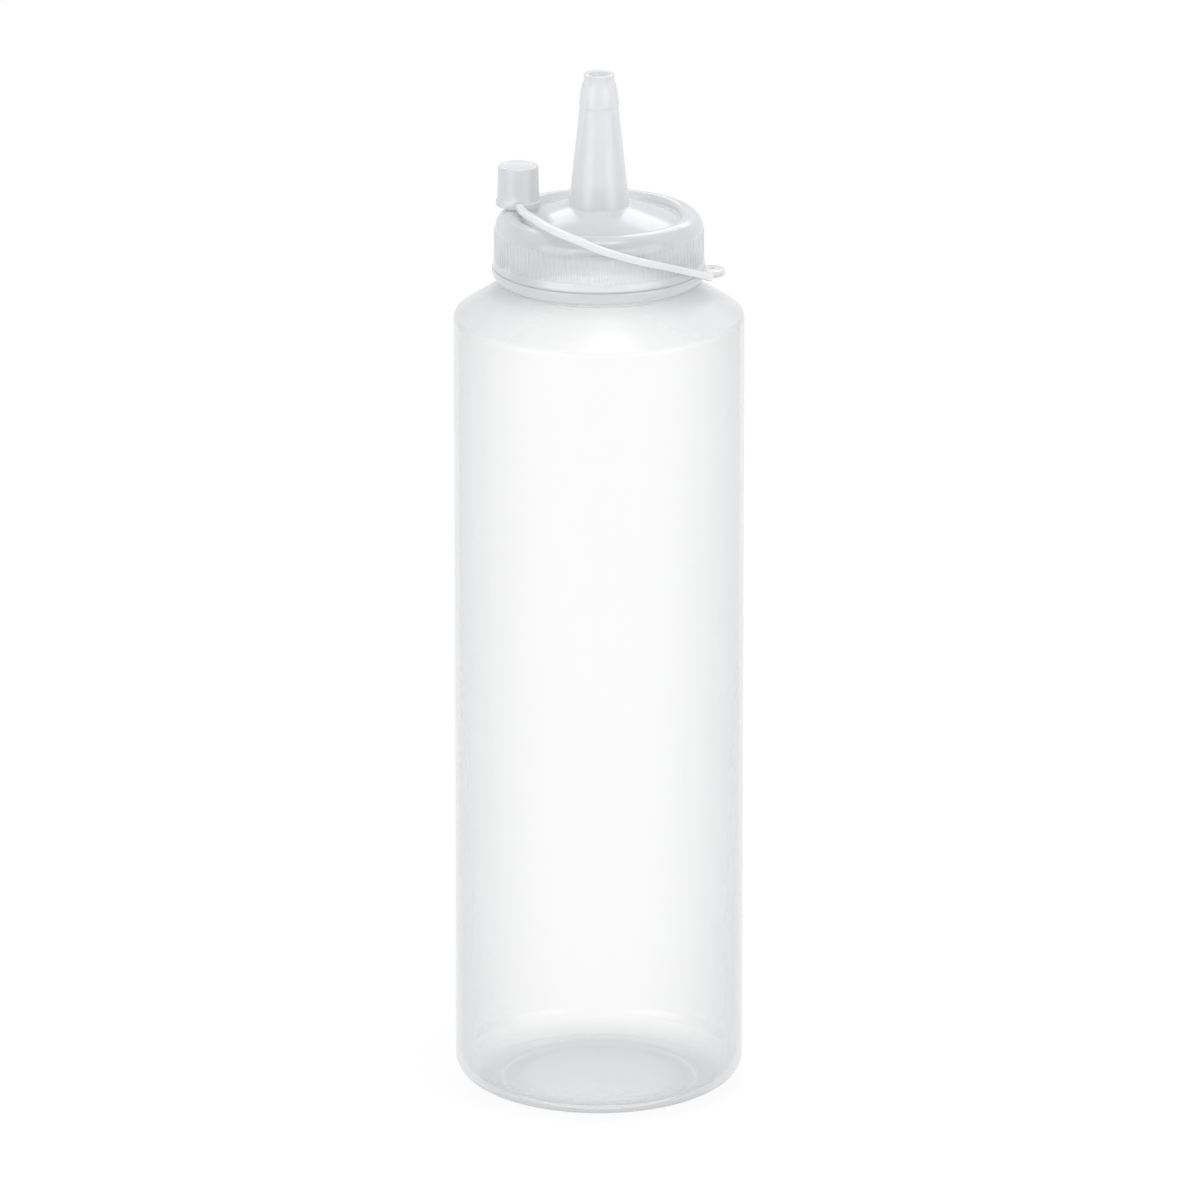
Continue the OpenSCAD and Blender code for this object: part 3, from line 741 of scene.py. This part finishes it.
class BOTTLE_OT_strap(bpy.types.Operator):
    """Strap from the ear to the tip cap, in three lengths"""
    bl_idname = "bottle.strap"
    bl_label = "Strap"

    def execute(self, context):
        p = Plan()
        t, u = p.tether, MM
        route = strap_route(p)
        last = len(route) - 1
        half_w, half_t, ease = t.strap_w / 2, t.strap_t / 2, 0.42 * u
        section = []
        for sx, sz, start in ((1, 1, 0), (-1, 1, 90), (-1, -1, 180), (1, -1, 270)):
            section += arc(sx * (half_w - ease), sz * (half_t - ease), ease, ease, start, start + 90, 4)
        lengths = (
            ("strap_root", -0.12, 4, ("tether", "strap_lower"), (0, 2.2), ("strap_lower",)),
            ("strap_middle", 4, 11, ("strap_lower", "strap_upper"), (6.9, 9.1), ("strap_upper",)),
            ("strap_tip", 11, last + 0.1, ("strap_upper", "tip_cap"), (12.9, last), ()),
        )
        for name, start, end, bodies, bend, nodes in lengths:
            points, faces = [], []
            steps = int(round((end - start) * 8))
            for i in range(steps + 1):
                s = start + (end - start) * i / steps
                here = route_point(route, s)
                along = route_point(route, min(s + 0.05, last)) - route_point(route, max(s - 0.05, 0))
                along /= np.linalg.norm(along)
                side = np.cross(along, (0, 0, 1))
                side /= np.linalg.norm(side)
                up = np.cross(side, along)
                points += [here + side * x + up * z for x, z in section]
            n = len(section)
            for i in range(steps):
                row, ahead = i * n, (i + 1) * n
                faces += [(row + k, row + (k + 1) % n, ahead + (k + 1) % n, ahead + k) for k in range(n)]
            faces += [tuple(range(n))[::-1], tuple(range(steps * n, steps * n + n))]
            piece = place(name, smooth(mesh_from(name, points, faces), 40))
            # The tip cap's milky plastic painted lighter, as a painted highlight for the light on the thin strap
            plastic = shared_plastic("lit_strap_plastic", context.scene.plastic_colours.tether, 0.9)
            finished(piece, plastic)
            tuple(route_point(route, bend[0]))
            tuple(route_point(route, bend[1]))
            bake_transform(piece)
            if nodes:
                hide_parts(*nodes)
        return {"FINISHED"}


class BOTTLE_OT_tip_cap(bpy.types.Operator):
    """Small push-on cap, parked on the rim"""
    bl_idname = "bottle.tip_cap"
    bl_label = "Tip cap"

    def execute(self, context):
        p = Plan()
        t, u = p.tether, MM
        line = soften([
            (0, t.tip_h - 0.25 * u), (p.tip_top_r - 1.25 * u, t.tip_h - 0.2 * u, 0.3 * u),
            (p.tip_top_r - 0.9 * u, t.tip_h, 0.25 * u), (p.tip_top_r - 0.02 * u, t.tip_h, 0.6 * u),
            (p.tip_foot_r, 1.1 * u, 0.25 * u), (p.tip_flange_r, 1 * u, 0.15 * u), (p.tip_flange_r, 0, 0.15 * u),
            (p.tip_mouth_r, 0, 0.15 * u), (p.tip_mouth_r, 1 * u, 0.3 * u), (p.tip_bore_r, 2.4 * u, 0.4 * u),
            (p.tip_bore_r, t.tip_h - t.tip_roof, 0.4 * u), (0, t.tip_h - t.tip_roof)], 4)
        mesh = revolved("tip_cap_piece", line, 96)
        for v in mesh.vertices:
            v.co.x += p.park_x
            v.co.y += p.park_y
            v.co.z += p.park_z
        piece = place("tip_cap_piece", smooth(mesh))
        plastic = shared_plastic("tip_plastic", context.scene.plastic_colours.tip, 0.9)
        finished(piece, plastic)
        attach(piece, "tip_cap")
        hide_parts("tip_cap")
        return {"FINISHED"}


class BOTTLE_OT_studio(bpy.types.Operator):
    """Pale floor, soft light and the camera"""
    bl_idname = "bottle.studio"
    bl_label = "Studio"

    def execute(self, context):
        scene = context.scene
        s = scene.studio_settings
        scene.view_settings.view_transform = "Standard"
        world = bpy.data.worlds.new("studio")
        scene.world = world
        world.use_nodes = True
        nodes, links = world.node_tree.nodes, world.node_tree.links
        nodes.clear()
        path = nodes.new("ShaderNodeLightPath").outputs

        def blend_level(fac, low, high):
            level = nodes.new("ShaderNodeMix")
            for where, value in zip((0, 2, 3), (fac, low, high)):
                if isinstance(value, bpy.types.NodeSocket):
                    links.new(value, level.inputs[where])
                else:
                    level.inputs[where].default_value = value
            return level.outputs[0]

        level = blend_level(path["Is Glossy Ray"], s.world, s.mirrored)
        level = blend_level(path["Is Transmission Ray"], level, WHITE)
        level = blend_level(path["Is Camera Ray"], level, WHITE)
        light = nodes.new("ShaderNodeBackground")
        light.inputs["Color"].default_value = (1, 1, 1, 1)
        links.new(level, light.inputs["Strength"])
        out = nodes.new("ShaderNodeOutputWorld")
        links.new(light.outputs[0], out.inputs["Surface"])

        disc = revolved("floor", [(0, 0), (6, 0)], 64)
        floor = place("floor", disc)
        paper = Paint("floor_paper")
        where = paper.node("ShaderNodeTexCoord", output=3)
        soft = paper.node("ShaderNodeTexNoise", None, where, Scale=3)
        matt = paper.node("ShaderNodeBsdfPrincipled", None, Base_Color=(0.8, 0.8, 0.8, 1), Roughness=0.9 + 0.05 * soft)
        lit = paper.node("ShaderNodeEmission", None, (1, 1, 1, 1), 1.003)
        bright = paper.node("ShaderNodeBsdfDiffuse", None, (0.985, 0.985, 0.985, 1))
        white = paper.node("ShaderNodeMixShader", None, 0.16, lit, bright)
        rays = paper.tree.nodes.new("ShaderNodeLightPath").outputs
        shown = Term(paper, rays["Is Camera Ray"]) + 0.8 * Term(paper, rays["Is Glossy Ray"]) + Term(
            paper, rays["Is Transmission Ray"])
        whole = paper.node("ShaderNodeMixShader", None, shown, matt, white)
        floor.data.materials.append(paper.finish(whole))

        def lamp(name, power, size, place_at, aim):
            data = bpy.data.lights.new(name, "AREA")
            data.shape = "RECTANGLE"
            data.size, data.size_y = size
            data.energy = power
            item = bpy.data.objects.new(name, data)
            scene.collection.objects.link(item)
            item.location = place_at
            item.visible_camera = False
            away = Vector(aim) - Vector(place_at)
            item.rotation_euler = away.to_track_quat("-Z", "Y").to_euler()

        lamp("key", s.key, (1.0, 0.9), (-0.95, -0.89, 0.46), (0, 0, 0.11))
        lamp("fill", s.fill, (1.0, 0.9), (1.0, -0.82, 0.46), (0, 0, 0.11))
        lamp("top", s.top, (0.35, 0.35), (0.08, -0.1, 1.05), (0, 0, 0.15))
        lamp("back", s.back, (1.2, 0.5), (0.15, 1.22, 1.02), (0, 0, 0.17))

        e, d = s.elevation, s.distance
        data = bpy.data.cameras.new("camera")
        data.sensor_width = 36
        data.lens = s.focal_px * 36 / 1200
        data.shift_x = 0.9 / 1200
        data.clip_start, data.clip_end = 0.05, 50
        camera = bpy.data.objects.new("camera", data)
        scene.collection.objects.link(camera)
        camera.location = (0, -d * math.cos(e), s.aim_z + d * math.sin(e))
        camera.rotation_euler = (math.pi / 2 - e, 0, 0)
        scene.camera = camera
        return {"FINISHED"}


BUILDERS = (
    BOTTLE_OT_shell, BOTTLE_OT_screw_cap, BOTTLE_OT_tether_ring, BOTTLE_OT_strap, BOTTLE_OT_tip_cap, BOTTLE_OT_studio)
GROUPS = {
    "bottle_sizes": BottleSizes, "cap_sizes": CapSizes, "tether_sizes": TetherSizes,
    "plastic_colours": PlasticColours, "studio_settings": StudioSettings}


class BOTTLE_PT_panel(bpy.types.Panel):
    """Lists the pieces and their settings"""
    bl_idname = "BOTTLE_PT_panel"
    bl_label = "Squeeze bottle"
    bl_space_type = "VIEW_3D"
    bl_region_type = "UI"
    bl_category = "Bottle"

    def draw(self, context):
        for builder in BUILDERS:
            self.layout.operator(builder.bl_idname)
        for name, group in GROUPS.items():
            box = self.layout.box()
            for key in group.__annotations__:
                box.prop(getattr(context.scene, name), key)


def register():
    for item in (*GROUPS.values(), *BUILDERS, BOTTLE_PT_panel):
        bpy.utils.register_class(item)
    for name, group in GROUPS.items():
        setattr(bpy.types.Scene, name, bpy.props.PointerProperty(type=group))


def unregister():
    for name in GROUPS:
        delattr(bpy.types.Scene, name)
    for item in reversed((*GROUPS.values(), *BUILDERS, BOTTLE_PT_panel)):
        bpy.utils.unregister_class(item)


def main():
    register()
    bpy.ops.bottle.shell()
    bpy.ops.bottle.screw_cap()
    bpy.ops.bottle.tether_ring()
    bpy.ops.bottle.strap()
    bpy.ops.bottle.tip_cap()
    bpy.ops.bottle.studio()


if __name__ == "__main__":
    main()
